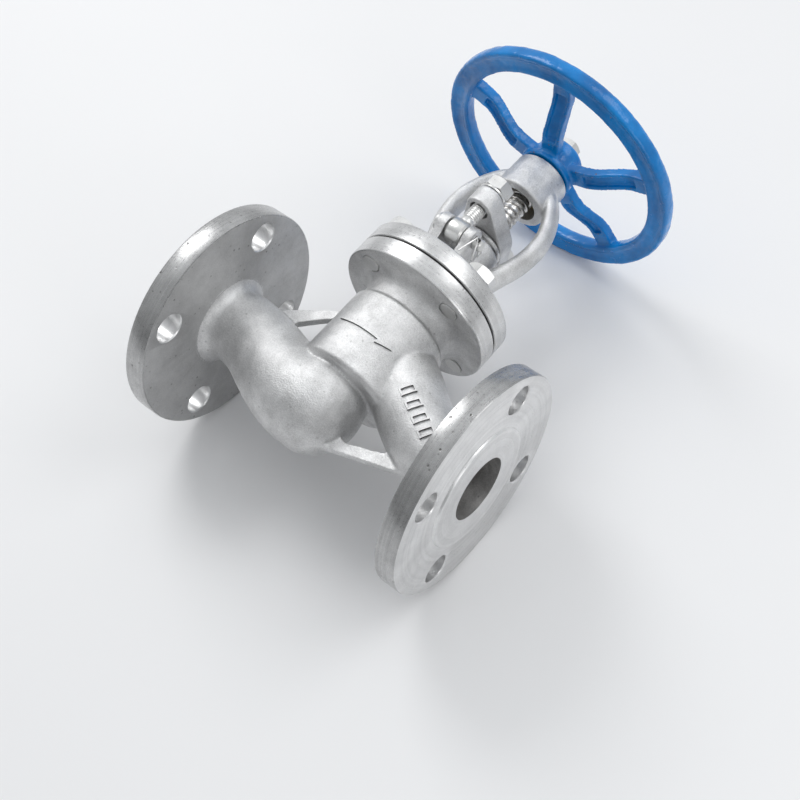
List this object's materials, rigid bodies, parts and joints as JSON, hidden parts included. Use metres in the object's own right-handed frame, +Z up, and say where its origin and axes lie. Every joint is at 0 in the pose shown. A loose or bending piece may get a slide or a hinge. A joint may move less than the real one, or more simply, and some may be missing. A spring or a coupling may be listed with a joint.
{
  "type": "globe valve",
  "caption": "Flanged stainless globe valve with S-shaped body, bolted bonnet, oval yoke, eyebolt gland, rising stem and spoked blue handwheel, lying on its flanges and wheel.",
  "frame": {"origin": "centre of the bounding box's bottom face, where the two flanges and the wheel touch the floor", "axes": "+X along the pipe from inlet to outlet; +Y level, from the body towards the handwheel, with the stem tipped 3.5 degrees up from it; +Z up"},
  "size_m": [0.2, 0.2968, 0.1661],
  "materials": {
    "cast_stainless": "bead-blasted casting, satin",
    "gland_stainless": "bead-blasted, satin",
    "wheel_paint": "gloss paint, chipped at the edges",
    "stem_steel": "machined, bright",
    "stem_nut_brass": "machined",
    "gasket_graphite": "matte",
    "packing_graphite": "matte",
    "fastener_steel": "bright, machined",
    "trim_steel": "machined, bright",
    "pin_wire": "drawn wire"
  },
  "bodies": {
    "valve_body": {"valve_body": "cast_stainless", "seat_ring": "trim_steel", "bonnet_gasket": "gasket_graphite", "bonnet": "cast_stainless", "bonnet_bolt_1": "fastener_steel", "bonnet_bolt_2": "fastener_steel", "bonnet_bolt_3": "fastener_steel", "bonnet_bolt_4": "fastener_steel", "backseat_bush": "trim_steel", "packing_washer": "trim_steel", "packing_ring_1": "packing_graphite", "packing_ring_2": "packing_graphite", "packing_ring_3": "packing_graphite", "packing_ring_4": "packing_graphite", "eyebolt_front": "fastener_steel", "eyebolt_back": "fastener_steel", "eyebolt_pin_front": "fastener_steel", "eyebolt_pin_back": "fastener_steel", "split_pin_front": "pin_wire", "split_pin_back": "pin_wire", "stem_nut": "stem_nut_brass", "stem_nut_screw": "fastener_steel"},
    "disc": {"disc": "trim_steel", "disc_nut": "trim_steel"},
    "stem": {"stem": "stem_steel", "handwheel": "wheel_paint", "wheel_washer": "fastener_steel", "wheel_nut": "fastener_steel"},
    "gland": {"gland_flange": "gland_stainless", "gland_bush": "trim_steel", "gland_washer_front": "fastener_steel", "gland_washer_back": "fastener_steel"},
    "gland_nut_front": {"gland_nut_front": "fastener_steel"},
    "gland_nut_back": {"gland_nut_back": "fastener_steel"}
  },
  "joints": [
    {"name": "disc_lift", "type": "slide", "parent": "valve_body", "child": "disc", "axis": [0, 0.9981, 0.0615], "range_m": [0, 0.01201]},
    {"name": "stem_turn", "type": "hinge", "parent": "disc", "child": "stem", "pos_m": [0, 0.13329, 0.08304], "axis": [0, 0.9981, 0.0615], "range_deg": [0, 1080]},
    {"name": "gland_slide", "type": "slide", "parent": "valve_body", "child": "gland", "axis": [0, 0.9981, 0.0615], "range_m": [0, 0.003]},
    {"name": "gland_nut_front_turn", "type": "hinge", "parent": "gland", "child": "gland_nut_front", "pos_m": [0, 0.06837, 0.1107], "axis": [0, 0.9981, 0.0615], "range_deg": [0, 721]},
    {"name": "gland_nut_back_turn", "type": "hinge", "parent": "gland", "child": "gland_nut_back", "pos_m": [0, 0.07225, 0.04762], "axis": [0, 0.9981, 0.0615], "range_deg": [0, 721]}
  ],
  "couplings": [
    {"joint": "disc_lift", "follows": "stem_turn", "m_per_rad": 0.00063662},
    {"joint": "gland_nut_front_turn", "follows": "gland_slide", "rad_per_m": 4188.8},
    {"joint": "gland_nut_back_turn", "follows": "gland_slide", "rad_per_m": 4188.8}
  ]
}
